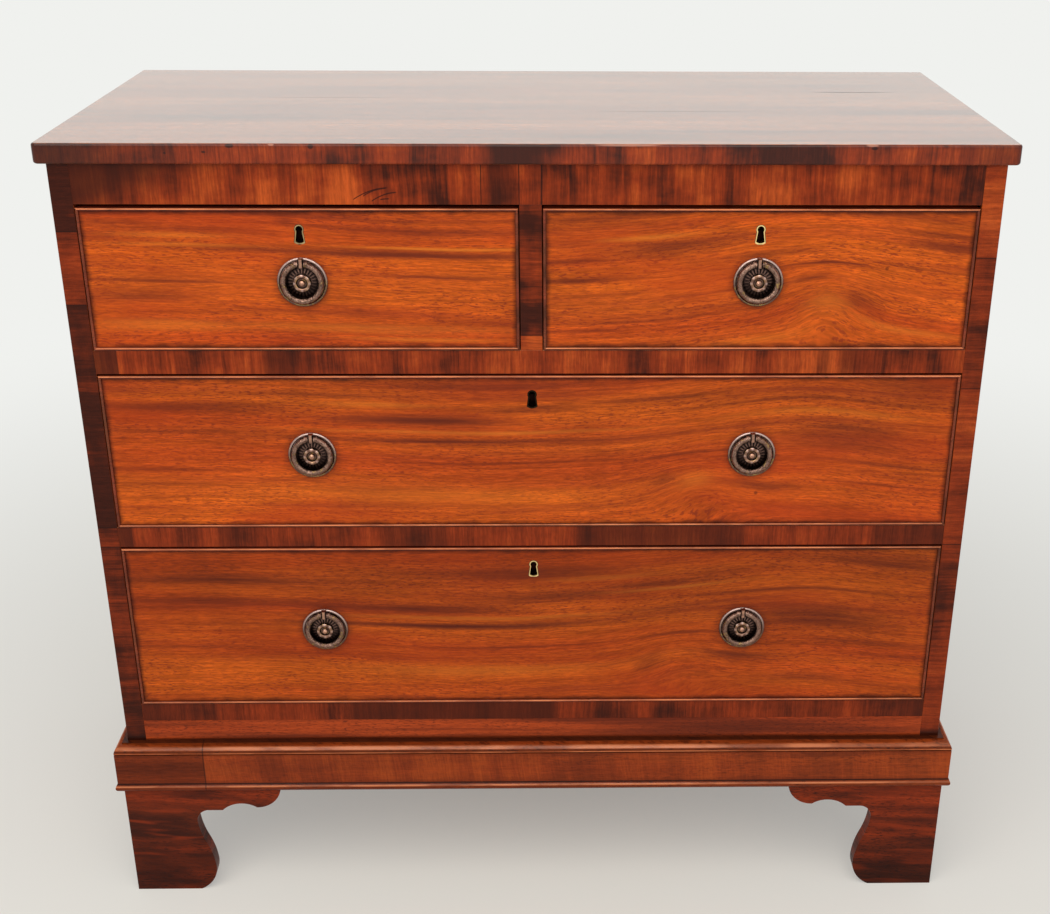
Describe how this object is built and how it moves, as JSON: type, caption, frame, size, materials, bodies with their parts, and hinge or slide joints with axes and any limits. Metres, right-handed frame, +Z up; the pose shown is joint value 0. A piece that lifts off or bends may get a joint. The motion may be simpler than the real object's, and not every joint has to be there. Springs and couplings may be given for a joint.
{
  "type": "chest of drawers",
  "caption": "Low mahogany chest with short drawers over long drawers, ring handles, keyholes, a moulded plinth and shaped bracket feet.",
  "frame": {"origin": "on the floor, under the middle of the bounding box", "axes": "+X to the right seen from the front, +Y towards the back, +Z up; the drawers face -Y"},
  "size_m": [0.961, 0.4564, 0.879],
  "materials": {
    "top_mahogany": "French polished mahogany, glossy",
    "case_mahogany": "polished mahogany",
    "crossbanding": "polished cross-grained mahogany veneer",
    "drawer_mahogany": "polished figured mahogany",
    "cock_bead": "polished mahogany bead, worn on its nose",
    "plinth_mahogany": "polished mahogany",
    "foot_mahogany": "polished mahogany with dark streaks",
    "oak": "bare oak, aged",
    "pine": "bare pine, aged",
    "aged_brass": "aged brown brass, rubbed on its rims",
    "brass": "satin brass"
  },
  "bodies": {
    "case": {"top_board": "top_mahogany", "left_side": "case_mahogany", "right_side": "case_mahogany", "bottom_board": "pine", "frieze_rail": "crossbanding", "upper_drawer_rail": "crossbanding", "lower_drawer_rail": "crossbanding", "bottom_drawer_rail": "crossbanding", "base_strip": "case_mahogany", "centre_muntin": "crossbanding", "drawer_runners": "pine", "kickers": "pine", "drawer_stops": "pine", "back_boards": "pine", "plinth_front": "plinth_mahogany", "plinth_left": "plinth_mahogany", "plinth_right": "plinth_mahogany", "front_left_foot": "foot_mahogany", "front_right_foot": "foot_mahogany", "rear_left_foot": "foot_mahogany", "rear_right_foot": "foot_mahogany", "glue_blocks": "pine"},
    "short_left_drawer": {"short_left_front": "drawer_mahogany", "short_left_sides": "oak", "short_left_back": "oak", "short_left_bottom": "oak", "short_left_cock_beads": "cock_bead", "short_left_lock": "brass", "short_left_handle_plates": "aged_brass"},
    "short_left_bolt": {"short_left_lock_bolt": "brass"},
    "short_left_ring_pull": {"short_left_ring": "aged_brass"},
    "short_right_drawer": {"short_right_front": "drawer_mahogany", "short_right_sides": "oak", "short_right_back": "oak", "short_right_bottom": "oak", "short_right_cock_beads": "cock_bead", "short_right_lock": "brass", "short_right_handle_plates": "aged_brass"},
    "short_right_bolt": {"short_right_lock_bolt": "brass"},
    "short_right_ring_pull": {"short_right_ring": "aged_brass"},
    "upper_long_drawer": {"upper_long_front": "drawer_mahogany", "upper_long_sides": "oak", "upper_long_back": "oak", "upper_long_bottom": "oak", "upper_long_cock_beads": "cock_bead", "upper_long_lock": "brass", "upper_long_handle_plates": "aged_brass"},
    "upper_long_bolt": {"upper_long_lock_bolt": "brass"},
    "upper_long_left_ring_pull": {"upper_long_left_ring": "aged_brass"},
    "upper_long_right_ring_pull": {"upper_long_right_ring": "aged_brass"},
    "lower_long_drawer": {"lower_long_front": "drawer_mahogany", "lower_long_sides": "oak", "lower_long_back": "oak", "lower_long_bottom": "oak", "lower_long_cock_beads": "cock_bead", "lower_long_lock": "brass", "lower_long_handle_plates": "aged_brass"},
    "lower_long_bolt": {"lower_long_lock_bolt": "brass"},
    "lower_long_left_ring_pull": {"lower_long_left_ring": "aged_brass"},
    "lower_long_right_ring_pull": {"lower_long_right_ring": "aged_brass"}
  },
  "joints": [
    {"name": "short_left_slide", "type": "slide", "parent": "case", "child": "short_left_drawer", "axis": [0, -1, 0], "range_m": [0, 0.3]},
    {"name": "short_left_bolt_slide", "type": "slide", "parent": "short_left_drawer", "child": "short_left_bolt", "axis": [0, 0, 1], "range_m": [0, 0.0065]},
    {"name": "short_left_ring_hinge", "type": "hinge", "parent": "short_left_drawer", "child": "short_left_ring_pull", "pos_m": [-0.227, -0.21565, 0.76035], "axis": [-1, 0, 0], "range_deg": [0, 150]},
    {"name": "short_right_slide", "type": "slide", "parent": "case", "child": "short_right_drawer", "axis": [0, -1, 0], "range_m": [0, 0.3]},
    {"name": "short_right_bolt_slide", "type": "slide", "parent": "short_right_drawer", "child": "short_right_bolt", "axis": [0, 0, 1], "range_m": [0, 0.0065]},
    {"name": "short_right_ring_hinge", "type": "hinge", "parent": "short_right_drawer", "child": "short_right_ring_pull", "pos_m": [0.227, -0.21565, 0.76035], "axis": [-1, 0, 0], "range_deg": [0, 150]},
    {"name": "upper_long_slide", "type": "slide", "parent": "case", "child": "upper_long_drawer", "axis": [0, -1, 0], "range_m": [0, 0.3]},
    {"name": "upper_long_bolt_slide", "type": "slide", "parent": "upper_long_drawer", "child": "upper_long_bolt", "axis": [0, 0, 1], "range_m": [0, 0.0065]},
    {"name": "upper_long_left_ring_hinge", "type": "hinge", "parent": "upper_long_drawer", "child": "upper_long_left_ring_pull", "pos_m": [-0.23, -0.21565, 0.57435], "axis": [-1, 0, 0], "range_deg": [0, 150]},
    {"name": "upper_long_right_ring_hinge", "type": "hinge", "parent": "upper_long_drawer", "child": "upper_long_right_ring_pull", "pos_m": [0.23, -0.21565, 0.57435], "axis": [-1, 0, 0], "range_deg": [0, 150]},
    {"name": "lower_long_slide", "type": "slide", "parent": "case", "child": "lower_long_drawer", "axis": [0, -1, 0], "range_m": [0, 0.3]},
    {"name": "lower_long_bolt_slide", "type": "slide", "parent": "lower_long_drawer", "child": "lower_long_bolt", "axis": [0, 0, 1], "range_m": [0, 0.0065]},
    {"name": "lower_long_left_ring_hinge", "type": "hinge", "parent": "lower_long_drawer", "child": "lower_long_left_ring_pull", "pos_m": [-0.23, -0.21565, 0.36635], "axis": [-1, 0, 0], "range_deg": [0, 150]},
    {"name": "lower_long_right_ring_hinge", "type": "hinge", "parent": "lower_long_drawer", "child": "lower_long_right_ring_pull", "pos_m": [0.23, -0.21565, 0.36635], "axis": [-1, 0, 0], "range_deg": [0, 150]}
  ]
}
